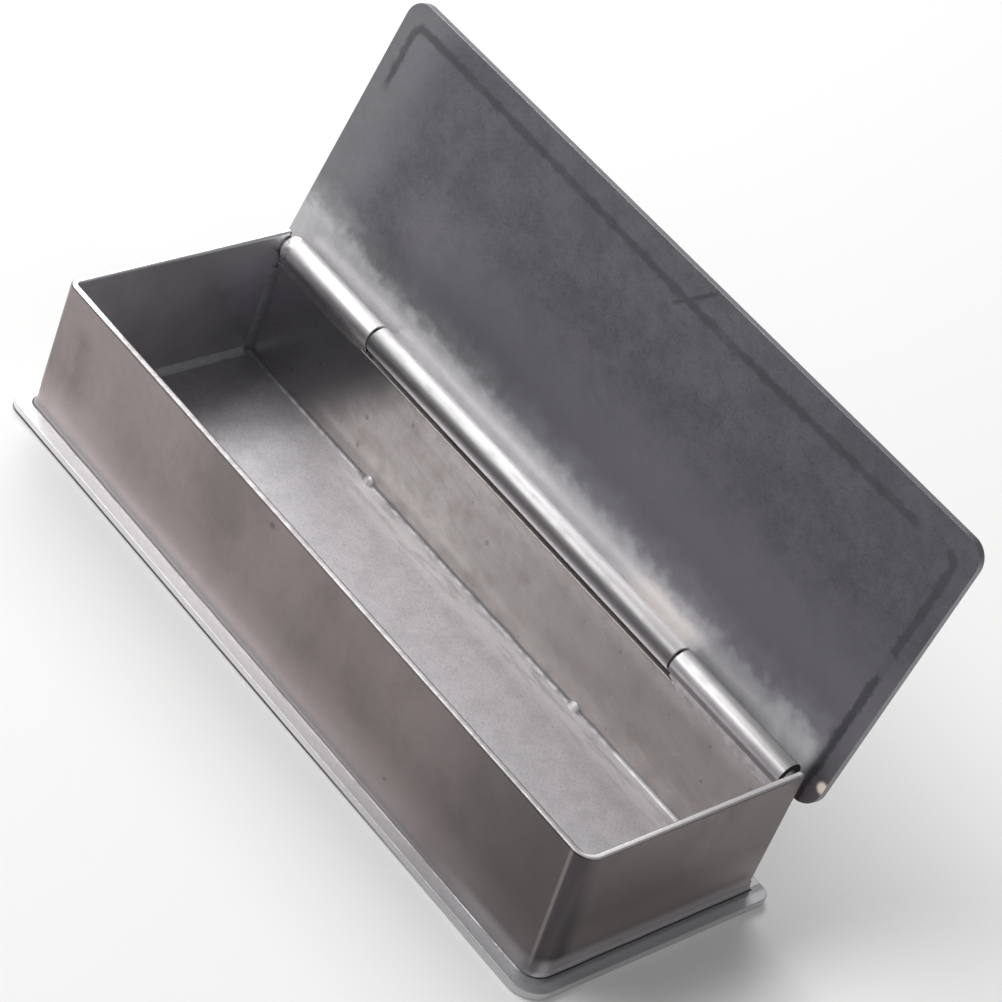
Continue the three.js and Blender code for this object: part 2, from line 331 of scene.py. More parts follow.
# In the masks, x, y and z are millimetres in the shared frame: along the box, to the back and up.
material, tree, shader, place = new_metal("pickled_floor")
x, y, z = split(tree, place)
inside = use_group(tree, inside_walls, Place=place)
dull = use_group(tree, mottle, Place=place, Patch=1.6, Low=0.38, High=0.66)
sand = use_group(tree, tooth, Place=place, Size=0.17)
streaks = use_group(tree, mottle, Place=stretch(tree, place, 0.2, 1.0, 1.0), Patch=0.7, Low=0.3, High=0.6)
scraped = product(tree, ramp(tree, y, 7.2, 10.4), ramp(tree, x, -22.0, -15.0))
scraped = product(tree, scraped, between(tree, streaks, 0.35, 1.0))
floor_layers = [
    (dull, FLOOR_DULL, 1),
    (ramp(tree, sand, 0.5, 0.75), FLOOR_SPECK, 0.6),
    (scraped, FLOOR_SCRAPED, 1),
    # Painted shadow of the left wall on the floor's left end.
    (ramp(tree, x, -22.0, -27.0), SIDE_DARK, 0.42),
]
# Painted shade on the flange along the front wall's foot.
by_wall = band(tree, y, -12.8, -12.15, -11.6, -11.0)
# Painted shade: the flange darker towards the right.
flange_layers = [(ramp(tree, x, -18.0, 34.0), FLANGE_SHADE, 1), (by_wall, SIDE_DARK, 0.2)]
flange_colour = layered(tree, FLANGE_BRIGHT, flange_layers)
top_colour = mix_colours(tree, inside, flange_colour, layered(tree, FLOOR_LIGHT, floor_layers))
# Painted shade: the plate's filed side darker towards the right.
side_colour = mix_colours(tree, ramp(tree, x, 2.0, 26.0), SIDE_BRIGHT, SIDE_SHADE)
# Painted contact shadow along the bottom of the plate's side, fading out towards the right end.
low_down = product(tree, ramp(tree, z, 0.3, 0.2), ramp(tree, x, 28.0, 8.0))
# Painted shade on the edge's arris, dimming its highlight.
arris = band(tree, z, 0.7, 0.73, 0.788, 0.799)
# Painted shade on the flange beside the right wall's foot.
right_foot_shade = product(tree, band(tree, x, 34.9, 35.0, 35.4, 35.8), ramp(tree, y, -12.0, -10.5))
edge_layers = [
    (ramp(tree, z, 0.79, 0.7), side_colour, 1),
    (low_down, SIDE_DARK, 1),
    (arris, SIDE_DARK, 0.25),
    (right_foot_shade, SIDE_DARK, 0.5),
]
colour = layered(tree, top_colour, edge_layers)
set_socket(tree, shader.inputs["Base Color"], colour)
set_socket(tree, shader.inputs["Roughness"], ramp(tree, sand, 0.3, 0.7, 0.5, 0.6))
add_bump(tree, shader, sand, 0.012 * MM)
finish_piece(floor_sheet, material, "box", "base_plate")


# Wall band: one strip bent into a U, the front wall and both ends, with rounded front corners.
# It stands on the base plate and is soldered inside and out. Its filed rim has a painted highlight at the
# left end.
# The outside is warm grey with upright columns of tarnish; painted shade darkens it towards the right end
# and in the bend.
RIM_EASING = 0.26 * MM
RIM_LIGHT = (0.33, 0.323, 0.324, 1)
RIM_DULL = (0.28, 0.273, 0.274, 1)
RIM_HIGHLIGHT = (0.95, 0.94, 0.945, 1)
RIM_END = (0.62, 0.607, 0.6, 1)
OUTSIDE_GREY = (0.3, 0.26, 0.255, 1)
OUTSIDE_ROSE = (0.275, 0.231, 0.226, 1)
OUTSIDE_GREEN = (0.26, 0.237, 0.229, 1)
OUTSIDE_STAIN_AND_SHADE = (0.2, 0.171, 0.168, 1)
OUTSIDE_SHADE = (0.1, 0.091, 0.092, 1)
OUTSIDE_BEND_SHADE = (0.07, 0.063, 0.07, 1)
OUTSIDE_LOW = (0.42, 0.366, 0.362, 1)
OUTSIDE_FOOT = (0.34, 0.328, 0.345, 1)
OUTSIDE_FOOT_REFLECTION = (0.72, 0.685, 0.69, 1)
OUTSIDE_END_FOOT = (0.78, 0.745, 0.76, 1)
OUTSIDE_DIRT_AND_SHADE = (0.05, 0.048, 0.052, 1)
INSIDE_GREY = (0.68, 0.672, 0.71, 1)
INSIDE_SMEAR = (0.62, 0.613, 0.648, 1)
INSIDE_BRIGHT = (0.97, 0.96, 0.99, 1)
# The dark of the right bend is painted shade.
BENT_TOP = 14.0  # height in millimetres from which the dark of the right bend widens downwards
BENT_LEAN = 0.076  # how far its first edge leans per millimetre. Its second edge leans twice as far
SATIN_DEPTH = 0.006 * MM


def bend(centre_x, radius, start):
    """Points of a front corner of the walls' outer face with their outward directions."""
    centre = Vector((centre_x, band_low.y + radius, 0))
    stations = []
    for step in range(CORNER_STEPS + 1):
        angle = math.radians(start + 90 * step / CORNER_STEPS)
        outward = Vector((math.cos(angle), math.sin(angle), 0))
        stations.append((centre + outward * radius, outward))
    return stations


left_bend = bend(band_low.x + LEFT_BEND, LEFT_BEND, 180)
right_bend = bend(band_high.x - RIGHT_BEND, RIGHT_BEND, 270)
band_path = [(Vector((band_low.x, band_high.y, 0)), Vector((-1, 0, 0)))]
band_path += left_bend + right_bend
band_path += [(Vector((band_high.x, band_high.y, 0)), Vector((1, 0, 0)))]
band_section = ((0, band_low.z), (0, band_high.z), (-WALL, band_high.z), (-WALL, band_low.z))
band_sections = [
    [point + outward * outset + Vector((0, 0, z)) for outset, z in band_section]
    for point, outward in band_path
]
walls_sheet = new_piece("walls_sheet", loft(band_sections))
file_edges(walls_sheet, RIM_EASING)


def filed_edge(name, light, dull, left_end, right_end):
    """The metal of a sheet's filed edge, with colours of their own at the two ends."""
    material, tree, shader, place = new_metal(name)
    filing = use_group(tree, mottle, Place=place, Patch=0.6, Low=0.35, High=0.7)
    colour = mix_colours(tree, filing, light, dull)
    along = split(tree, place)["X"]
    colour = mix_colours(tree, ramp(tree, along, -26.0, -34.0), colour, left_end)
    colour = mix_colours(tree, ramp(tree, along, 33.4, 34.4), colour, right_end)
    set_socket(tree, shader.inputs["Base Color"], colour)
    set_socket(tree, shader.inputs["Roughness"], between(tree, filing, 0.42, 0.48))
    add_bump(tree, shader, filing, 0.004 * MM)
    return material


def give_metals(piece, face_metal, edge_metal, edge_faces):
    """Gives a sheet its metal, and the filed metal on the faces that are its cut edges."""
    piece.data.materials.append(face_metal)
    piece.data.materials.append(edge_metal)
    for index in edge_faces:
        piece.data.polygons[index].material_index = 1


def upright_face(tree, place):
    """A place on a front or back wall as a flat place: its x and its height."""
    spot = split(tree, place)
    return add_node(tree, "ShaderNodeCombineXYZ", {"X": spot["X"], "Y": spot["Z"]}).outputs[0]


def satin(tree, shader, sand, rough):
    """Gives a metal its roughness, with a sandy grain in it and in its relief."""
    grain = ramp(tree, sand, 0.3, 0.7, -0.03, 0.04)
    set_socket(tree, shader.inputs["Roughness"], math_step(tree, "ADD", rough, grain))
    add_bump(tree, shader, sand, SATIN_DEPTH)


# The rim's left end gets a painted highlight.
rim_metal = filed_edge("filed_rim", RIM_LIGHT, RIM_DULL, RIM_HIGHLIGHT, RIM_END)

material, tree, shader, place = new_metal("handled_walls")
x, y, z = split(tree, place)
inside = use_group(tree, inside_walls, Place=place)
upright = stretch(tree, place, 1.0, 1.0, 0.4)
rosy = use_group(tree, mottle, Place=upright, Patch=5.5, Low=0.34, High=0.66)
green = use_group(tree, mottle, Place=upright, Patch=3.6, Low=0.45, High=0.7)
stained = use_group(tree, mottle, Place=stretch(tree, place, 1.0, 1.0, 0.6), Patch=8.0, Low=0.45, High=0.7)
blotchy = use_group(tree, mottle, Place=place, Patch=1.0, Low=0.42, High=0.75)
smudged = use_group(tree, mottle, Place=place, Patch=2.6, Low=0.4, High=0.66)
smeared = use_group(tree, mottle, Place=place, Patch=3.2, Low=0.4, High=0.66)
spotted = use_group(tree, specks, Place=upright_face(tree, place), Spacing=7.0, Radius=0.07, Share=0.4)
sand = use_group(tree, tooth, Place=place, Size=0.16)
front = ramp(tree, y, -11.0, -11.6)
# Painted shade: the front wall darker towards its right end, and the right wall darker as well.
right_end = product(tree, front, ramp(tree, x, 11.0, 33.0, 0.0, 0.92))
# Painted light: the lower walls lighter, less so where the right end's painted shade is.
low_light_share = math_step(tree, "SUBTRACT", 1.0, product(tree, right_end, 0.8))
# Painted shade in the right front bend, widening downwards.
round_bend = math_step(tree, "ADD", x, y)
down = math_step(tree, "SUBTRACT", BENT_TOP, z)
bend_start = math_step(tree, "SUBTRACT", round_bend, product(tree, down, BENT_LEAN))
bend_end = math_step(tree, "SUBTRACT", round_bend, product(tree, down, 2 * BENT_LEAN))
in_front = ramp(tree, y, 0.0, -2.0)
bent = product(tree, ramp(tree, bend_start, 21.4, 21.9), ramp(tree, bend_end, 25.4, 23.2), in_front)
# Painted highlight: a light line along the edge of the bend's shade.
bend_edge_light = product(tree, band(tree, bend_start, 21.1, 21.35, 21.45, 21.65), in_front)
# Painted highlight along the foot towards the right end, strongest on the right wall.
end_foot = product(tree, ramp(tree, z, 2.9, 1.7), ramp(tree, x, 20.0, 30.0))
end_foot = product(tree, end_foot, ramp(tree, x, 34.4, 34.9, 0.25, 0.85))
# Painted reflection of the bright flange low on the foot, fading towards the right.
foot_reflection = product(tree, band(tree, z, 0.85, 0.93, 1.0, 1.2), ramp(tree, x, 8.0, 32.0, 0.55, 0.0))
toe = math_step(tree, "MAXIMUM", between(tree, smudged, 0.4, 0.65), ramp(tree, x, 33.5, 35.0))
outside_layers = [
    (rosy, OUTSIDE_ROSE, 1),
    (green, OUTSIDE_GREEN, 0.35),
    (stained, OUTSIDE_STAIN_AND_SHADE, 0.6),
    (blotchy, OUTSIDE_STAIN_AND_SHADE, 0.22),
    # Painted shade: the front wall darker from left of its middle towards the right.
    (product(tree, front, ramp(tree, x, -12.0, 6.0)), OUTSIDE_STAIN_AND_SHADE, 0.45),
    (right_end, OUTSIDE_SHADE, 1),
    (ramp(tree, x, 34.6, 34.9), OUTSIDE_SHADE, 0.46),
    (product(tree, ramp(tree, z, 6.8, 2.8), low_light_share), OUTSIDE_LOW, 0.48),
    (bent, OUTSIDE_BEND_SHADE, 0.85),
    (bend_edge_light, OUTSIDE_LOW, 0.35),
    # Painted reflection of the flange: the walls lighter and bluer towards the foot.
    (ramp(tree, z, 2.2, 1.0), OUTSIDE_FOOT, 0.5),
    (end_foot, OUTSIDE_END_FOOT, 1),
    (foot_reflection, OUTSIDE_FOOT_REFLECTION, 1),
    (spotted, OUTSIDE_DIRT_AND_SHADE, 0.45),
    # Dirt and painted contact shade along the seam's toe, and a line low on the right wall.
    (product(tree, toe, ramp(tree, z, 0.92, 0.84)), OUTSIDE_DIRT_AND_SHADE, 1),
    (product(tree, ramp(tree, z, 1.08, 0.98), ramp(tree, x, 34.6, 35.0)), OUTSIDE_DIRT_AND_SHADE, 0.5),
]
outer = layered(tree, OUTSIDE_GREY, outside_layers)
# Painted light on the inner walls' top towards the hinge.
near_hinge = product(tree, ramp(tree, z, 7.0, 13.0), ramp(tree, y, -4.0, 8.0))
inner = layered(tree, INSIDE_GREY, [(smeared, INSIDE_SMEAR, 1), (near_hinge, INSIDE_BRIGHT, 1)])
set_socket(tree, shader.inputs["Base Color"], mix_colours(tree, inside, outer, inner))
satin(tree, shader, sand, between(tree, stained, 0.36, 0.46))
rim_faces = [len(band_section) * row + 1 for row in range(len(band_sections) - 1)]
give_metals(walls_sheet, material, rim_metal, rim_faces)
walls_metal = material
place_piece(walls_sheet, "box", "wall_band")


# Back wall: a straight strip soldered between the end walls, lower than the rim by the hinge tube.
# Its inside is warm from the torch, with small dark pits and slanting wipe marks, and painted shadow at the
# left.
BACK_WARM = (0.51, 0.492, 0.468, 1)
BACK_ROSE = (0.475, 0.446, 0.421, 1)
BACK_WIPE = (0.36, 0.343, 0.328, 1)
BACK_DARK = (0.2, 0.187, 0.175, 1)
BACK_DARKER_RIGHT = (0.32, 0.304, 0.293, 1)
BACK_TOP = (0.72, 0.69, 0.655, 1)
BACK_FILED = (0.6, 0.587, 0.573, 1)
BACK_SCORCH = (0.27, 0.23, 0.19, 1)
BACK_SHADOW = (0.22, 0.213, 0.217, 1)
BACK_SHADE = (0.46, 0.452, 0.475, 1)
BACK_EASING = 0.12 * MM
BACK_LOWER = 0.34 * MM  # the strip's top edge was filed down to clear the lid's tube

back_corners = [(back_low.y, back_low.z), (back_high.y, back_low.z)]
back_corners += [(back_high.y, back_high.z - BACK_LOWER), (back_low.y, back_high.z - BACK_LOWER)]
back_sections = [[(x, y, z) for y, z in back_corners] for x in (back_low.x, back_high.x)]
back_sheet = new_piece("back_sheet", loft(back_sections))
file_edges(back_sheet, BACK_EASING)

material, tree, shader, place = new_metal("torched_back")
x, y, z = split(tree, place)
inside = use_group(tree, inside_walls, Place=place)
wall_face = upright_face(tree, place)
slant = {"Vector": place, "Rotation": (0, math.radians(-10), 0)}
slanted = stretch(tree, add_node(tree, "ShaderNodeMapping", slant).outputs[0], 0.15, 1.0, 1.0)
rosy = use_group(tree, mottle, Place=place, Patch=2.8, Low=0.42, High=0.68)
wiped = use_group(tree, mottle, Place=slanted, Patch=0.7, Low=0.46, High=0.72)
smoky = use_group(tree, mottle, Place=place, Patch=1.3, Low=0.48, High=0.74)
scorched = use_group(tree, mottle, Place=wall_face, Patch=2.2, Low=0.46, High=0.72)
blotchy = use_group(tree, mottle, Place=place, Patch=1.0, Low=0.42, High=0.75)
tall_cells = stretch(tree, wall_face, 1.0, 0.7, 1.0)
pitted = use_group(tree, specks, Place=tall_cells, Spacing=2.4, Radius=0.13, Share=0.45)
sand = use_group(tree, tooth, Place=place, Size=0.16)
# Painted shadow on the back wall's left part, its edge slanting with height.
shade_measure = math_step(tree, "SUBTRACT", x, product(tree, z, 0.8))
inside_layers = [
    (rosy, BACK_ROSE, 1),
    # Darker towards the right end.
    (ramp(tree, x, -10.0, 20.0), BACK_DARKER_RIGHT, 0.95),
    (ramp(tree, z, 8.8, 10.6), BACK_TOP, 0.32),
    # Darker towards the foot, in the next two layers.
    (product(tree, ramp(tree, z, 2.8, 1.9), ramp(tree, x, 9.0, 0.0)), BACK_DARK, 0.5),
    (product(tree, ramp(tree, z, 7.0, 3.5), ramp(tree, x, -8.0, 0.0)), BACK_DARK, 0.25),
    (wiped, BACK_WIPE, 0.45),
    (smoky, BACK_WIPE, 0.5),
    (scorched, BACK_SCORCH, 0.26),
    (ramp(tree, shade_measure, -22.0, -29.0), BACK_SHADOW, 1),
    (ramp(tree, shade_measure, -28.0, -33.5), BACK_SHADE, 0.8),
    (pitted, BACK_DARK, 0.55),
]
inner = layered(tree, BACK_WARM, inside_layers)
outer = layered(tree, OUTSIDE_GREY, [(rosy, OUTSIDE_ROSE, 1), (blotchy, OUTSIDE_STAIN_AND_SHADE, 0.22)])
colour = mix_colours(tree, inside, outer, inner)
wall_top = (back_high.z - BACK_LOWER) / MM
colour = mix_colours(tree, ramp(tree, z, wall_top - 0.03, wall_top - 0.01), colour, BACK_FILED)
set_socket(tree, shader.inputs["Base Color"], colour)
satin(tree, shader, sand, between(tree, rosy, 0.3, 0.38))
back_sheet.data.materials.append(material)
place_piece(back_sheet, "box", "back_wall")


# Seams: solder run into the foot of the walls, inside and out, and up the two back corners.
# It is smooth where it flowed and its edges wander, with two lumps where the back wall was tacked.
# Outside it shares the walls' metal, its tarnish and its painted light and shade. Inside, painted shade
# darkens it at the back left, and its tacks have painted glints.
SEAM_RUN = 0.28 * MM
CORNER_RUN = 0.36 * MM
LEFT_CORNER_RUN = 0.54 * MM
FOOT_RUN = 0.28 * MM  # across the flange
FOOT_RISE = 0.9 * MM  # up the wall
SEAM_WANDER = 0.12  # share of the run
WANDER_SLOW = 2.4 * MM  # length of the long waves in a seam's edge
WANDER_QUICK = 0.8 * MM  # and of the short ones
LEFT_SPREAD_FROM = 1.6 * MM  # distance from the left end at which the inside seam starts to widen
LEFT_SPREAD_OVER = 1.5 * MM  # and over which it does so
SEAM_SPACING = 0.25 * MM
SEAM_HOLLOW = 0.34
FOOT_HOLLOW = 0.06
FACE_STEPS = 8
CORNER_ROOM = 1.6 * MM  # straight stations keep this far from a square corner
TACK_PLACES = [band_low.x + WALL + 18.4 * MM, band_low.x + WALL + 47.4 * MM]
TACK_SPREAD = 0.46 * MM
TACK_SWELL = 1.25
TACK_FULLNESS = 0.6  # in place of the seam's own hollow
TACK_GLEAMS = [0.12, 0.6]
SEAM_LIGHT = (0.33, 0.323, 0.333, 1)
SEAM_DULL = (0.26, 0.254, 0.262, 1)
SEAM_BRIGHT = (0.75, 0.738, 0.75, 1)
SEAM_GLINT = (0.9, 0.89, 0.89, 1)
SEAM_SHADE = (0.1, 0.096, 0.1, 1)


def straight_run(start, end, outward):
    """Stations along a straight stretch of wall, from start to end."""
    steps = max(1, round((end - start).length / SEAM_SPACING))
    return [(start.lerp(end, step / steps), outward) for step in range(steps + 1)]


def wall_loop(side):
    """Stations once round the walls' outer face: points with their outward directions.
    At a square corner the direction is the mitre's. side is 1 outside the walls and -1 inside,
    where the fillet fills the sharp front left corner and makes it square."""
    left, right, front, back = band_low.x, band_high.x, band_low.y, band_high.y
    left_corner = left_bend
    if side < 0:
        left_corner = [
            (Vector((left, front + CORNER_ROOM, 0)), Vector((-1, 0, 0))),
            (Vector((left, front, 0)), Vector((-1, -1, 0))),
            (Vector((left + CORNER_ROOM, front, 0)), Vector((0, -1, 0))),
        ]
    loop = [(Vector((left, back, 0)), Vector((-1, 1, 0)))]
    loop += straight_run(Vector((left, back - CORNER_ROOM, 0)), left_corner[0][0], Vector((-1, 0, 0)))
    loop += left_corner[1:]
    loop += straight_run(left_corner[-1][0], right_bend[0][0], Vector((0, -1, 0)))[1:]
    loop += right_bend[1:]
    loop += straight_run(right_bend[-1][0], Vector((right, back - CORNER_ROOM, 0)), Vector((1, 0, 0)))[1:]
    loop += [(Vector((right, back, 0)), Vector((1, 1, 0)))]
    back_end = Vector((left + CORNER_ROOM, back, 0))
    loop += straight_run(Vector((right - CORNER_ROOM, back, 0)), back_end, Vector((0, 1, 0)))
    return loop


def spaced(start, end):
    """Numbers from start to end, about a seam's spacing apart."""
    steps = round((end - start) / SEAM_SPACING)
    return [start + (end - start) * step / steps for step in range(steps + 1)]


def hollow_curve(start, dip, end, steps):
    """Points of a hollow face of solder from start to end, drawn towards dip."""
    shares = [step / steps for step in range(steps + 1)]
    return [start * (1 - t) ** 2 + dip * 2 * t * (1 - t) + end * t**2 for t in shares]


def hollow_face(run, rise, hollow):
    """Points of a fillet's face, from its toe on one side of the corner to its top on the other."""
    return hollow_curve(Vector((run, 0)), Vector((run, rise)) * hollow, Vector((0, rise)), FACE_STEPS)


def wander(point, seed):
    """How much wider or narrower a seam is at a point, as a share of its run."""
    slow = noise.noise(point / WANDER_SLOW + Vector((0, 0, seed)))
    quick = noise.noise(point / WANDER_QUICK + Vector((0, 0, seed + 50)))
    return 1 + SEAM_WANDER * (1.4 * slow + 0.5 * quick)


def tack_swell(point):
    """How far a point is into a tack lump on the back wall's foot: 1 at its middle, 0 away from it."""
    if point.y < band_high.y - MM:
        return 0.0
    return max(math.exp(-(((point.x - place) / TACK_SPREAD) ** 2)) for place in TACK_PLACES)


def left_spread(point):
    """How much wider the inside seam is at a point: twice as wide along the left end's foot."""
    into = band_low.x + WALL + LEFT_SPREAD_FROM - point.x
    return 1 + min(1.0, max(0.0, into / LEFT_SPREAD_OVER))


def loop_seam(name, face_outset, side, run, rise, hollowness, seed):
    """A seam once round the foot of the walls. side is 1 outside the walls and -1 inside."""
    sections = []
    for point, outward in wall_loop(side):
        swell = tack_swell(point) if side < 0 else 0.0
        spread = left_spread(point) if side < 0 else 1.0
        width = run * spread * wander(point, seed) * (1 + TACK_SWELL * swell)
        tall = rise * spread * wander(point, seed + 9) * (1 + TACK_SWELL * swell)
        hollow = hollowness + (TACK_FULLNESS - hollowness) * swell
        section = []
        for p in [Vector((0, 0))] + hollow_face(width, tall, hollow):
            section.append(point + outward * (face_outset + side * p.x) + Vector((0, 0, base_high.z + p.y)))
        sections.append(section)
    return new_piece(name, loft(sections, closed=True))


def corner_seam(name, side, top, run):
    """An upright seam in a back corner. side is -1 for the left corner and 1 for the right."""
    corner = Vector((side * (band_high.x - WALL), back_low.y, 0))
    sections = []
    for height in spaced(base_high.z + SEAM_RUN / 2, top):
        point = corner + Vector((0, 0, height))
        face = hollow_face(run * wander(point, 3), run * wander(point, 5), SEAM_HOLLOW)
        sections.append([point] + [point + Vector((-side * p.x, -p.y, 0)) for p in face])
    return new_piece(name, loft(sections))


saddle_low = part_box("left_knuckle_solder")[0]
floor_fillet = loop_seam("floor_fillet", -WALL, -1, SEAM_RUN, SEAM_RUN, SEAM_HOLLOW, seed=1)
foot_fillet = loop_seam("foot_fillet", 0, 1, FOOT_RUN, FOOT_RISE, FOOT_HOLLOW, seed=20)
left_corner_fillet = corner_seam("left_corner_fillet", -1, saddle_low.z, LEFT_CORNER_RUN)
right_corner_fillet = corner_seam("right_corner_fillet", 1, back_high.z, CORNER_RUN)

material, tree, shader, place = new_metal("seam_solder")
x, y, z = split(tree, place)
cloudy = use_group(tree, mottle, Place=place, Patch=1.1, Low=0.36, High=0.66)
sand = use_group(tree, tooth, Place=place, Size=0.25)
at_back = ramp(tree, y, 10.3, 10.8)
bright = product(tree, math_step(tree, "SUBTRACT", 1.0, at_back), 0.3)
bright = math_step(tree, "MAXIMUM", bright, ramp(tree, x, 16.0, 22.0, 0.0, 0.5))
glint = 0.0
for tack, gleam in zip(TACK_PLACES, TACK_GLEAMS):
    from_tack = math_step(tree, "ABSOLUTE", math_step(tree, "SUBTRACT", x, tack / MM))
    bright = math_step(tree, "MAXIMUM", bright, ramp(tree, from_tack, 0.7, 0.3))
    glint = math_step(tree, "MAXIMUM", glint, ramp(tree, from_tack, 0.5, 0.25, 0.0, gleam))
glint = product(tree, glint, at_back)
set_socket(tree, shader.inputs["Metallic"], math_step(tree, "SUBTRACT", 1.0, glint))
low_down = ramp(tree, z, base_high.z / MM + 0.6, base_high.z / MM + 0.4)
seam_layers = [
    (cloudy, SEAM_DULL, 1),
    (bright, SEAM_BRIGHT, 1),
    (glint, SEAM_GLINT, 1),
    # Painted shade on the inside seam's foot at the back left.
    (product(tree, ramp(tree, x, -18.0, -26.0), at_back, low_down), SEAM_SHADE, 0.5),
]
set_socket(tree, shader.inputs["Base Color"], layered(tree, SEAM_LIGHT, seam_layers))
set_socket(tree, shader.inputs["Roughness"], between(tree, cloudy, 0.5, 0.58))
add_bump(tree, shader, sand, 0.012 * MM)
finish_piece(floor_fillet, material, "box", "floor_seam")
finish_piece(foot_fillet, walls_metal, "box", "foot_seam")
finish_piece(left_corner_fillet, material, "box", "left_corner_seam")
finish_piece(right_corner_fillet, material, "box", "right_corner_seam")


# Hinge tubes: three lengths of drawn tube in line, two on the box and a long one on the lid.
# They are the brightest metal here, with fine lines along the draw. Each one has painted light and shade
# round its sides, towards the lid, in front and underneath, which places its highlight.
TUBE_SIDES = 96
TUBE_EASING = 0.08 * MM
EASING_STEPS = 4
PIN_CLEARANCE = 0.08 * MM
TOWARDS_LID = (0, math.cos(math.radians(55)), math.sin(math.radians(55)))
# Painted light and shade round each tube: the lightness of its top and of three more sides.
TUBE_LEFT = {"top": 0.48, "lid": 0.92, "front": 0.92, "under": 0.6, "turn": -0.68}
TUBE_MIDDLE = {"top": 0.34, "lid": 1.0, "front": 0.42, "under": 0.85, "turn": -0.78}
TUBE_RIGHT = {"top": 0.36, "lid": 0.4, "front": 1.0, "under": 0.22, "turn": -0.55}
TUBE_TINT = (1.0, 0.982, 0.987)
TUBE_DRAWN = (0.85, 0.85, 0.85, 1)  # share of the colour left in the drawn lines
TUBE_END_SHADE = (0.05, 0.048, 0.052, 1)

hinge = Vector(frame["joints"][0]["pos_m"])
pin_low, pin_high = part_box("hinge_pin")
pin_radius = (pin_high.z - pin_low.z) / 2
bore = pin_radius + PIN_CLEARANCE
spokes = []  # directions from the hinge's axis to the sides of a tube
for side in range(TUBE_SIDES):
    angle = 2 * math.pi * side / TUBE_SIDES
    spokes.append(Vector((0, math.cos(angle), math.sin(angle))))


def on_hinge(x):
    """A point of the hinge's axis."""
    return Vector((x, hinge.y, hinge.z))


def rounded_end(x, radius, easing, direction):
    """Profile of a tube's outer end edge, from its end face to its side, as (x, radius) points."""
    points = []
    for step in range(EASING_STEPS + 1):
        angle = math.radians(90 * step / EASING_STEPS)
        along = direction * easing * (1 - math.sin(angle))
        points.append((x + along, radius - easing * (1 - math.cos(angle))))
    return points


def tube(name, node):
    """A hollow length of tube where a knuckle is, with softened ends: a profile turned about the hinge."""
    low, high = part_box(node)
    outside = (high.z - low.z) / 2
    profile = [(low.x, bore)] + rounded_end(low.x, outside, TUBE_EASING, 1)[::-1]
    profile += rounded_end(high.x, outside, TUBE_EASING, -1) + [(high.x, bore)]
    sections = [[on_hinge(x) + spoke * radius for x, radius in profile] for spoke in spokes]
    return new_piece(name, loft(sections, closed=True))


def tube_colour(lightness):
    """A tube's grey at one lightness."""
    return tuple(lightness * share for share in TUBE_TINT) + (1,)


def drawn_tube(name, lightness):
    """The metal of a tube, from the lightness of its top and of three more sides, and where its underside
    starts: millimetres from the hinge's axis towards the lid."""
    material, tree, shader, place = new_metal(name)
    along_tube = stretch(tree, place, 0.06, 1.0, 1.0)
    drawn = use_group(tree, mottle, Place=along_tube, Patch=0.28, Low=0.4, High=0.7)
    rubbed = use_group(tree, mottle, Place=place, Patch=1.8, Low=0.4, High=0.7)
    out = vector_step(tree, "SUBTRACT", place, hinge / MM)["Vector"]
    side = vector_step(tree, "DOT_PRODUCT", out, TOWARDS_LID)["Value"]
    turn = lightness["turn"]
    # Painted light and shade round the tube's sides.
    side_layers = [
        (ramp(tree, side, 0.6, 1.15), tube_colour(lightness["lid"]), 1),
        (ramp(tree, side, 0.42, 0.05), tube_colour(lightness["front"]), 1),
        (ramp(tree, side, turn, turn - 0.3), tube_colour(lightness["under"]), 1),
    ]
    colour = layered(tree, tube_colour(lightness["top"]), side_layers)
    lines = {0: product(tree, drawn, 0.8), 6: colour, 7: TUBE_DRAWN}
    colour = add_node(tree, "ShaderNodeMix", lines, data_type="RGBA", blend_type="MULTIPLY").outputs[2]
    right_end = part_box("right_knuckle")[1].x / MM
    # Painted shade at the tube's right end, in its gap against the right wall.
    shade_measure = ramp(tree, split(tree, place)["X"], right_end - 0.12, right_end - 0.03)
    set_socket(tree, shader.inputs["Base Color"], mix_colours(tree, shade_measure, colour, TUBE_END_SHADE))
    set_socket(tree, shader.inputs["Roughness"], between(tree, rubbed, 0.43, 0.48))
    add_bump(tree, shader, drawn, 0.001 * MM)
    return material


left_metal = drawn_tube("left_tube", TUBE_LEFT)
middle_metal = drawn_tube("middle_tube", TUBE_MIDDLE)
right_metal = drawn_tube("right_tube", TUBE_RIGHT)
finish_piece(tube("left_tube", "left_knuckle"), left_metal, "box", "left_knuckle")
finish_piece(tube("right_tube", "right_knuckle"), right_metal, "box", "right_knuckle")
finish_piece(tube("lid_tube", "lid_knuckle"), middle_metal, "lid", "lid_knuckle")


# Hinge pin: a length of wire through the three tubes, a little short of their ends.
# It is drawn metal like the right tube, with its cut ends rounded, and stays with the box.
PIN_DOME = 0.15 * MM

pin_profile = rounded_end(pin_low.x, pin_radius, PIN_DOME, 1)[::-1]
pin_profile += rounded_end(pin_high.x, pin_radius, PIN_DOME, -1)
pin_sections = [[on_hinge(x) + spoke * radius for spoke in spokes] for x, radius in pin_profile]
pin_wire = new_piece("pin_wire", loft(pin_sections))
finish_piece(pin_wire, right_metal, "box", "hinge_pin")


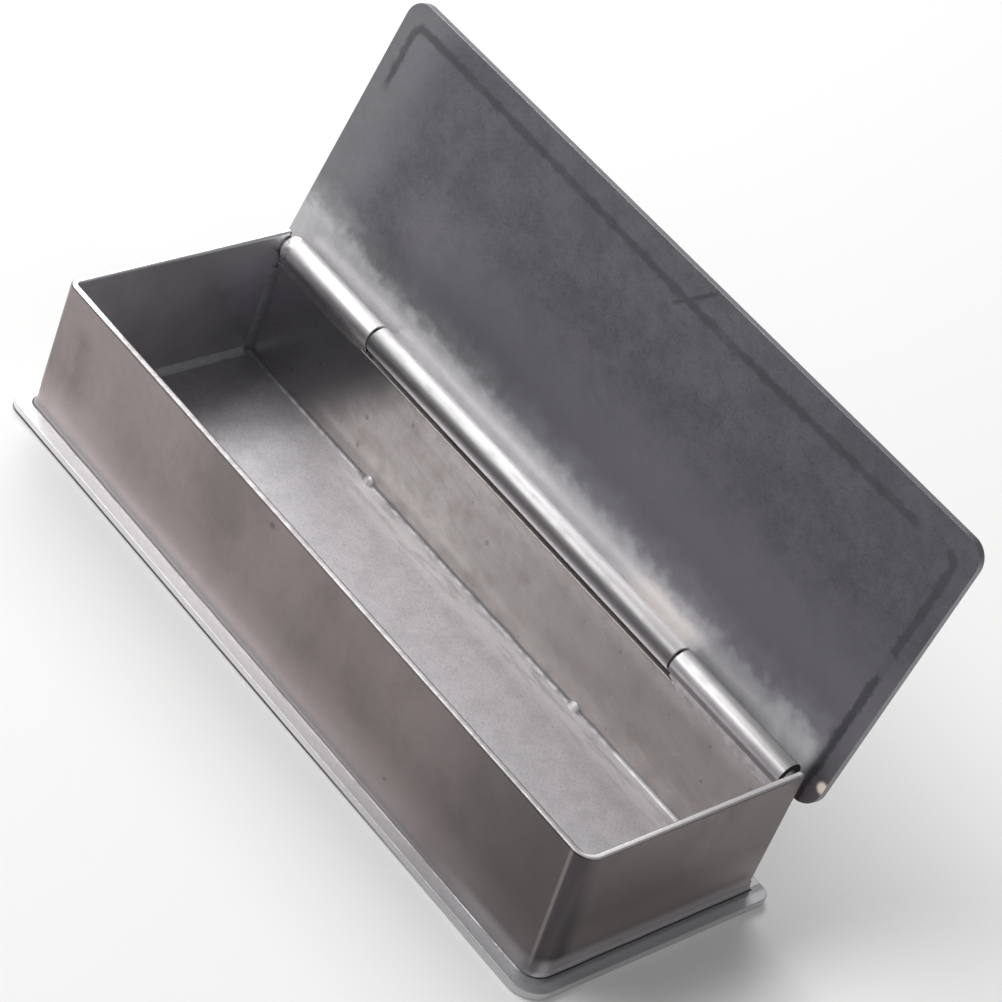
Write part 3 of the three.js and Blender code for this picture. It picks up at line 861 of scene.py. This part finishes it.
# Saddles: solder that seats each end tube on the back wall's top edge, hollow on both sides.
# The left one runs on into a lump that closes the tube's end against the left wall.
SADDLE_REACH = 50  # degrees up the tube, each way from straight down
SADDLE_DROP = 0.65 * MM
SADDLE_BACK_DROP = 0.5 * MM
SADDLE_TAPER = 1.6 * MM  # the saddles thin out towards their ends
SADDLE_SKIN = -0.01 * MM  # the solder's face lies just under the tube's
SADDLE_THIN = 0.12  # share of the drop that is left at the ends
SADDLE_HOLLOW = 0.06 * MM  # how far the hollow of a side is drawn out from the wall's face
SADDLE_LIFT = 0.08 * MM  # and up from where the front side leaves the tube
SADDLE_BACK_LIFT = 0.05 * MM
SADDLE_STEPS = 12
SIDE_STEPS = 5
LUMP_STEPS = 14
LUMP_SWELL = 0.05 * MM
LUMP_LENGTH = 1.5 * MM
LUMP_ROUGHNESS = 0.09 * MM
LUMP_GRAIN = 0.5 * MM
LUMP_NARROWING = 0.6  # share by which the square of its width is less at the wall
LUMP_SHOULDER = 0.55  # share of the length over which it widens from there
LUMP_FADE = 0.5  # share of the length after which it thins out along the tube
SADDLE_LIGHT = (0.5, 0.485, 0.482, 1)
SADDLE_DULL = (0.43, 0.417, 0.414, 1)

tube_low, tube_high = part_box("right_knuckle")
tube_radius = (tube_high.z - tube_low.z) / 2


def seat_arc(middle, reach):
    """The tube's side of a solder section: points about the hinge, reach each way from a middle angle."""
    points = []
    for step in range(SADDLE_STEPS + 1):
        angle = math.radians(middle - reach + 2 * reach * step / SADDLE_STEPS)
        points.append(Vector((math.cos(angle), math.sin(angle))) * (tube_radius + SADDLE_SKIN))
    return points


def saddle_section(x, from_end):
    """Section of a saddle at one place along the hinge, as a ring of points."""
    full = min(1.0, from_end / SADDLE_TAPER)
    full = SADDLE_THIN + (1 - SADDLE_THIN) * full * full * (3 - 2 * full)
    arc = seat_arc(270, -SADDLE_REACH)
    top = back_high.z - hinge.z
    front_face, back_face = back_low.y - hinge.y, back_high.y - hinge.y
    front_toe = Vector((front_face, top - SADDLE_DROP * full * wander(on_hinge(x), 30)))
    back_toe = Vector((back_face, top - SADDLE_BACK_DROP * full * wander(on_hinge(x), 40)))
    front_dip = Vector((front_face - SADDLE_HOLLOW, arc[-1].y + SADDLE_LIFT))
    back_dip = Vector((back_face + SADDLE_HOLLOW, arc[0].y + SADDLE_BACK_LIFT))
    ring = arc + hollow_curve(arc[-1], front_dip, front_toe, SIDE_STEPS)[1:]
    ring += [Vector((front_face, top)), Vector((back_face, top))]
    ring += hollow_curve(back_toe, back_dip, arc[0], SIDE_STEPS)[:-1]
    return [(x, hinge.y + p.x, hinge.z + p.y) for p in ring]


def saddle(node):
    """A saddle as long as its CAD piece."""
    low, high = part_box(node)
    return loft([saddle_section(x, min(x - low.x, high.x - x)) for x in spaced(low.x, high.x)])


def end_lump(x):
    """A rounded lump of solder round a tube's end, from a wall's face at x, uneven all over."""
    sections = []
    for step in range(LUMP_STEPS + 1):
        along = step / LUMP_STEPS
        travel = Vector((along * LUMP_LENGTH, 0, 0))
        bulge = math.sqrt(1 - LUMP_NARROWING * max(0.0, 1 - along / LUMP_SHOULDER) ** 2)
        fade = 1 - max(0.0, (along - LUMP_FADE) / (1 - LUMP_FADE)) ** 2
        ring = []
        for spoke in spokes:
            uneven = noise.noise((spoke * tube_radius + travel) / LUMP_GRAIN)
            swell = (LUMP_SWELL + LUMP_ROUGHNESS * uneven) * fade
            ring.append(on_hinge(x) + travel + spoke * (tube_radius + SADDLE_SKIN + swell) * bulge)
        sections.append(ring)
    return loft(sections)


def join(first, second):
    """Two solids as one list of points and one of faces."""
    start = len(first[0])
    moved = [tuple(corner + start for corner in face) for face in second[1]]
    return list(first[0]) + list(second[0]), list(first[1]) + moved


material, tree, shader, place = new_metal("saddle_solder")
cloudy = use_group(tree, mottle, Place=place, Patch=0.8, Low=0.36, High=0.66)
sand = use_group(tree, tooth, Place=place, Size=0.3)
colour = mix_colours(tree, cloudy, SADDLE_LIGHT, SADDLE_DULL)
set_socket(tree, shader.inputs["Base Color"], colour)
set_socket(tree, shader.inputs["Roughness"], between(tree, cloudy, 0.4, 0.48))
add_bump(tree, shader, sand, 0.01 * MM)

left_seat = saddle("left_knuckle_solder")
left_saddle = new_piece("left_saddle", join(left_seat, end_lump(band_low.x + WALL)))
finish_piece(left_saddle, material, "box", "left_knuckle_solder")
left_saddle.data.materials.append(left_metal)
for face in left_saddle.data.polygons[len(left_seat[1]):]:
    face.material_index = 1
right_saddle = new_piece("right_saddle", saddle("right_knuckle_solder"))
finish_piece(right_saddle, material, "box", "right_knuckle_solder")


# Lid: flat sheet with rounded corners, soldered to the middle tube, overhanging the rim.
# Its inside is dull blue-grey, with a dark broken print of the rim, a pale band of painted reflection of the
# tube by the hinge and painted light at the left. Its outside is handled like the walls, and its edge is
# filed a little brighter.
LID_CORNERS = [1.9 * MM] * 4
LID_EASING = 0.025 * MM
LID_INSIDE = (0.165, 0.16, 0.176, 1)
LID_CLOUD = (0.151, 0.147, 0.161, 1)
LID_PALE = (0.24, 0.235, 0.251, 1)
LID_LEFT_LIGHT = (0.33, 0.322, 0.348, 1)
LID_DARK = (0.085, 0.083, 0.092, 1)
LID_TUBE_REFLECTION = (0.66, 0.65, 0.67, 1)
LID_WARM_HIGHLIGHT = (0.98, 0.92, 0.87, 1)
LID_COPPER_GLINT = (1.0, 0.86, 0.73, 1)
LID_EDGE = (0.4, 0.392, 0.42, 1)
LID_EDGE_DULL = (0.36, 0.353, 0.378, 1)
LID_END = (0.25, 0.245, 0.263, 1)
PRINT_SIDE = 34.5  # millimetres from the middle of the lid
PRINT_FRONT = 22.5  # millimetres from the hinge, where the rim bows in most
PRINT_DIP = 8.0  # where that is along the lid
PRINT_BOW = 0.018  # how much farther from the hinge the print is, per millimetre from there
PRINT_CORNER = 1.1
SCRATCH_START = (1.06, -21.47, 0)
SCRATCH_END = (4.51, -25.22, 0)
COPPER_GLINT_SPOT = (35.95, -0.6, 1.45)

lid_open = math.radians(-frame["joints"][0]["range_deg"][0])
lid_place = Matrix.Translation(hinge) @ Matrix.Rotation(-lid_open, 4, "X")


def box_in(place, node):
    """Lowest and highest corner of a CAD node in another frame."""
    to_place = place.inverted()
    corners = [to_place @ vertex.co for vertex in frame["nodes"][node].data.vertices]
    lowest = Vector([min(values) for values in zip(*corners)])
    return lowest, Vector([max(values) for values in zip(*corners)])


lid_low, lid_high = box_in(lid_place, "lid_plate")
lid_outline = rounded_outline(lid_low, lid_high, LID_CORNERS)
lid_sections = [[(x, y, z) for x, y in lid_outline] for z in (lid_low.z, lid_high.z)]
lid_sheet = new_piece("lid_sheet", loft(lid_sections))
lid_sheet.matrix_world = lid_place
file_edges(lid_sheet, LID_EASING)

# Rim print: a line where the rim presses against the closed lid, rounded at the two front corners.
# It reaches about Width to each side of its middle.
rim_print, given = shader_group("rim_print", {"Width": 0.45}, "Mask")
x, y, z = split(rim_print, given["Place"])
past_side = math_step(rim_print, "SUBTRACT", math_step(rim_print, "ABSOLUTE", x), PRINT_SIDE - PRINT_CORNER)
past_side = math_step(rim_print, "MAXIMUM", past_side, 0.0)
bow = math_step(rim_print, "ABSOLUTE", math_step(rim_print, "SUBTRACT", x, PRINT_DIP))
bow = product(rim_print, bow, PRINT_BOW)
past_front = math_step(rim_print, "SUBTRACT", PRINT_CORNER - PRINT_FRONT, y)
past_front = math_step(rim_print, "SUBTRACT", past_front, bow)
past_front = math_step(rim_print, "MAXIMUM", past_front, 0.0)
past = add_node(rim_print, "ShaderNodeCombineXYZ", {"X": past_side, "Y": past_front}).outputs[0]
reach = vector_step(rim_print, "LENGTH", past)["Value"]
off_line = math_step(rim_print, "ABSOLUTE", math_step(rim_print, "SUBTRACT", reach, PRINT_CORNER))
uneven = use_group(rim_print, mottle, Place=given["Place"], Patch=1.4, Low=0.25, High=0.75)
width = product(rim_print, given["Width"], between(rim_print, uneven, 0.6, 1.25))
soft_line = ramp(rim_print, off_line, width, product(rim_print, width, 0.3))
off_left = ramp(rim_print, x, -31.0, -30.0)
kept = math_step(rim_print, "MAXIMUM", off_left, ramp(rim_print, y, -16.0, -18.0))
close_group(rim_print, product(rim_print, soft_line, kept))

# Scratch: a short straight mark between two points, about Width wide.
scratch, given = shader_group("scratch", {"Width": 0.3}, "Mask")
along = Vector(SCRATCH_END) - Vector(SCRATCH_START)
side = Vector((along.y, -along.x, 0)).normalized()
from_start = vector_step(scratch, "SUBTRACT", given["Place"], SCRATCH_START)["Vector"]
travel = vector_step(scratch, "DOT_PRODUCT", from_start, along.normalized())["Value"]
stray = vector_step(scratch, "DOT_PRODUCT", from_start, side)["Value"]
mark = ramp(scratch, math_step(scratch, "ABSOLUTE", stray), given["Width"], 0.05)
within_ends = band(scratch, travel, -0.2, 0.3, along.length - 0.6, along.length)
close_group(scratch, product(scratch, mark, within_ends))

# On the lid, x, y and z are measured from the hinge, as they lie with the lid closed.
material, tree, shader, place = new_metal("lid_metal")
x, y, z = split(tree, place)
inner_face = math_step(tree, "LESS_THAN", z, (lid_low.z + lid_high.z) / 2 / MM)
cloudy = use_group(tree, mottle, Place=place, Patch=2.6, Low=0.35, High=0.66)
blotchy = use_group(tree, mottle, Place=place, Patch=0.8, Low=0.42, High=0.75)
rosy = use_group(tree, mottle, Place=place, Patch=3.4, Low=0.4, High=0.62)
greened = use_group(tree, mottle, Place=place, Patch=7.0, Low=0.42, High=0.7)
sand = use_group(tree, tooth, Place=place, Size=0.2)
broken = use_group(tree, mottle, Place=place, Patch=6.0, Low=0.3, High=0.46)
faint = band(tree, x, 29.0, 31.0, 32.8, 33.8)
missed = band(tree, y, -13.8, -13.0, -11.6, -10.8)
printed = use_group(tree, rim_print, Place=place, Width=0.62)
printed = product(tree, printed, between(tree, broken, 0.4, 1.0))
printed = product(tree, printed, between(tree, faint, 1.0, 0.15), between(tree, missed, 1.0, 0.2))
printed = math_step(tree, "MAXIMUM", printed, use_group(tree, scratch, Place=place))
drift = use_group(tree, mottle, Place=place, Patch=1.5, Low=0.2, High=0.8, Detail=3.0)
# Painted reflection of the tube: a pale band on the lid's inside by the hinge, weaker towards the right.
reflection_edge = math_step(tree, "ADD", y, between(tree, drift, -0.3, 0.3))
reflection_edge = math_step(tree, "ADD", reflection_edge, ramp(tree, x, -24.0, -30.0, 0.0, 0.6))
tube_reflection = ramp(tree, reflection_edge, -4.4, -2.6, 0.0, 0.68)
tube_reflection = math_step(tree, "ADD", tube_reflection, ramp(tree, reflection_edge, -6.8, -3.6, 0.0, 0.32))
weaker_reflection = band(tree, x, 18.0, 23.0, 26.0, 31.0)
tube_reflection = product(tree, tube_reflection, between(tree, drift, 0.8, 1.0), between(tree, weaker_reflection, 1.0, 0.72))
tube_reflection = product(tree, tube_reflection, ramp(tree, x, 34.6, 33.0), inner_face)
# Painted highlight: a warm streak beside the tube.
warm_highlight = product(tree, band(tree, x, 9.0, 14.0, 18.0, 20.5), ramp(tree, reflection_edge, -2.7, -1.9), inner_face)
# Painted glint with a coppery tint at the lid's lower right corner.
copper_glint = ramp(tree, vector_step(tree, "DISTANCE", place, COPPER_GLINT_SPOT)["Value"], 0.7, 0.3)
inside_layers = [
    (cloudy, LID_CLOUD, 1),
    (ramp(tree, sand, 0.52, 0.78), LID_DARK, 0.35),
    (blotchy, LID_DARK, 0.22),
    # Darker towards the right.
    (ramp(tree, x, 4.0, 20.0), LID_DARK, 0.2),
    # Painted light on the lid's left part and along its left edge.
    (product(tree, ramp(tree, y, -16.0, -4.0), ramp(tree, x, -29.0, -20.0)), LID_LEFT_LIGHT, 1),
    (ramp(tree, x, -28.0, -34.0), LID_PALE, 0.9),
    (printed, LID_DARK, 0.7),
    (tube_reflection, LID_TUBE_REFLECTION, 1),
    (warm_highlight, LID_WARM_HIGHLIGHT, 0.6),
    (copper_glint, LID_COPPER_GLINT, 1),
]
outside_layers = [(rosy, OUTSIDE_ROSE, 1), (blotchy, OUTSIDE_STAIN_AND_SHADE, 0.22), (greened, OUTSIDE_GREEN, 0.4)]
inner = layered(tree, LID_INSIDE, inside_layers)
outer = layered(tree, OUTSIDE_GREY, outside_layers)
set_socket(tree, shader.inputs["Base Color"], mix_colours(tree, inner_face, outer, inner))
# Less metal where the painted reflection and the painted glint are, so they show pale.
diffuse_share = math_step(tree, "MAXIMUM", product(tree, tube_reflection, 0.85), copper_glint)
set_socket(tree, shader.inputs["Metallic"], math_step(tree, "SUBTRACT", 1.0, diffuse_share))
satin(tree, shader, sand, between(tree, cloudy, 0.38, 0.43))
lid_edge = filed_edge("lid_edge", LID_EDGE, LID_EDGE_DULL, LID_EDGE, LID_END)
give_metals(lid_sheet, material, lid_edge, range(len(lid_outline)))
place_piece(lid_sheet, "lid", "lid_plate")


# Lid seam: the strip of solder that holds the lid to its tube, hollow along both sides.
# It is plain grey solder, run in from the front, where its edge wanders.
LID_SEAM_FRONT = 0.6 * MM
LID_SEAM_REAR = 0.8 * MM
LID_SEAM_LIGHT = (0.45, 0.441, 0.444, 1)
LID_SEAM_DULL = (0.38, 0.372, 0.375, 1)
LID_SEAM_REACH = 30  # degrees round the tube, each way from the lid
LID_SEAM_HOLLOW = 0.1 * MM

lid_seam_low, lid_seam_high = box_in(lid_place, "lid_knuckle_solder")


def lid_seam_section(x):
    """Section of the lid's seam at one place along the hinge, about the hinge axis, lid closed."""
    arc = seat_arc(90, LID_SEAM_REACH)
    seat = lid_seam_high.z
    front = Vector((-LID_SEAM_FRONT * wander(Vector((x, 0, 0)), 60), seat))
    rear = Vector((LID_SEAM_REAR, seat))
    front_dip = Vector((arc[-1].x, seat - LID_SEAM_HOLLOW))
    rear_dip = Vector((arc[0].x, seat - LID_SEAM_HOLLOW))
    ring = arc + hollow_curve(arc[-1], front_dip, front, SIDE_STEPS)[1:]
    ring += hollow_curve(rear, rear_dip, arc[0], SIDE_STEPS)[:-1]
    return [(x, p.x, p.y) for p in ring]


lid_seam_sections = [lid_seam_section(x) for x in spaced(lid_seam_low.x, lid_seam_high.x)]
lid_fillet = new_piece("lid_fillet", loft(lid_seam_sections))
lid_fillet.matrix_world = lid_place

material, tree, shader, place = new_metal("lid_solder")
cloudy = use_group(tree, mottle, Place=place, Patch=0.8, Low=0.36, High=0.66)
set_socket(tree, shader.inputs["Base Color"], mix_colours(tree, cloudy, LID_SEAM_LIGHT, LID_SEAM_DULL))
set_socket(tree, shader.inputs["Roughness"], between(tree, cloudy, 0.5, 0.58))
add_bump(tree, shader, cloudy, 0.01 * MM)
finish_piece(lid_fillet, material, "lid", "lid_knuckle_solder")


# Studio: a plain pale floor under the box and a dim grey room. One long soft box hangs to the left
# and runs from behind the box to well in front of it. A weak one fills in from the right.
FLOOR_PALE = (0.9, 0.9, 0.895, 1)
FLOOR_REACH = 2.0
ROOM_GREY = (0.25, 0.25, 0.254, 1)
LOOK_AT = Vector((1.444, 6.45, 15.554)) * MM

floor_points = [(x, y, 0) for x, y in ((-1, -1), (1, -1), (1, 1), (-1, 1))]
studio_mesh = bpy.data.meshes.new("studio_floor")
studio_mesh.from_pydata([Vector(point) * FLOOR_REACH for point in floor_points], [], [(0, 1, 2, 3)])
studio_floor = bpy.data.objects.new("studio_floor", studio_mesh)
bpy.context.scene.collection.objects.link(studio_floor)
pale = bpy.data.materials.new("pale_floor")
pale.use_nodes = True
pale_sockets = pale.node_tree.nodes["Principled BSDF"].inputs
pale_sockets["Base Color"].default_value = FLOOR_PALE
pale_sockets["Roughness"].default_value = 0.9
pale_sockets["Specular IOR Level"].default_value = 0.1
studio_mesh.materials.append(pale)

world = bpy.data.worlds.new("studio_room")
world.use_nodes = True
world.node_tree.nodes["Background"].inputs["Color"].default_value = ROOM_GREY
bpy.context.scene.world = world


def soft_box(name, centre, along, width, length, radiance):
    """A rectangular soft box that faces the object, with its length in the direction along."""
    light = bpy.data.lights.new(name, "AREA")
    light.shape = "RECTANGLE"
    light.size = width
    light.size_y = length
    light.energy = radiance * math.pi * width * length
    lamp = bpy.data.objects.new(name, light)
    lamp.location = Vector(centre)
    away = (lamp.location - LOOK_AT).normalized()
    across = Vector(along).cross(away).normalized()
    lamp.rotation_mode = "QUATERNION"
    lamp.rotation_quaternion = Matrix((across, away.cross(across), away)).transposed().to_quaternion()
    bpy.context.scene.collection.objects.link(lamp)


soft_box("left_box", centre=(-0.3, 0.0, 0.45), along=(-0.3, 1, 0), width=0.24, length=0.9, radiance=5.6)
soft_box("right_fill", centre=(0.6, -0.1, 0.3), along=(0, 1, 0), width=0.5, length=0.8, radiance=0.5)

CAMERA_AZIMUTH = 36.18  # degrees from the front, towards the right end
CAMERA_ELEVATION = 38.09
CAMERA_ROLL = 22.68
CAMERA_DISTANCE = 297.17 * MM
CAMERA_SENSOR = 36
CAMERA_LENS = 131.5

azimuth, elevation = math.radians(CAMERA_AZIMUTH), math.radians(CAMERA_ELEVATION)
level = Vector((math.sin(azimuth), -math.cos(azimuth), 0))
backward = level * math.cos(elevation) + Vector((0, 0, math.sin(elevation)))
camera_data = bpy.data.cameras.new("photo_camera")
camera_data.sensor_width = CAMERA_SENSOR
camera_data.lens = CAMERA_LENS
camera_data.clip_start = 0.01
camera = bpy.data.objects.new("photo_camera", camera_data)
camera.location = LOOK_AT + backward * CAMERA_DISTANCE
camera.rotation_mode = "QUATERNION"
roll = Quaternion((0, 0, 1), math.radians(CAMERA_ROLL))
camera.rotation_quaternion = (-backward).to_track_quat("-Z", "Y") @ roll
bpy.context.scene.collection.objects.link(camera)
bpy.context.scene.camera = camera
bpy.context.scene.view_settings.view_transform = "Standard"
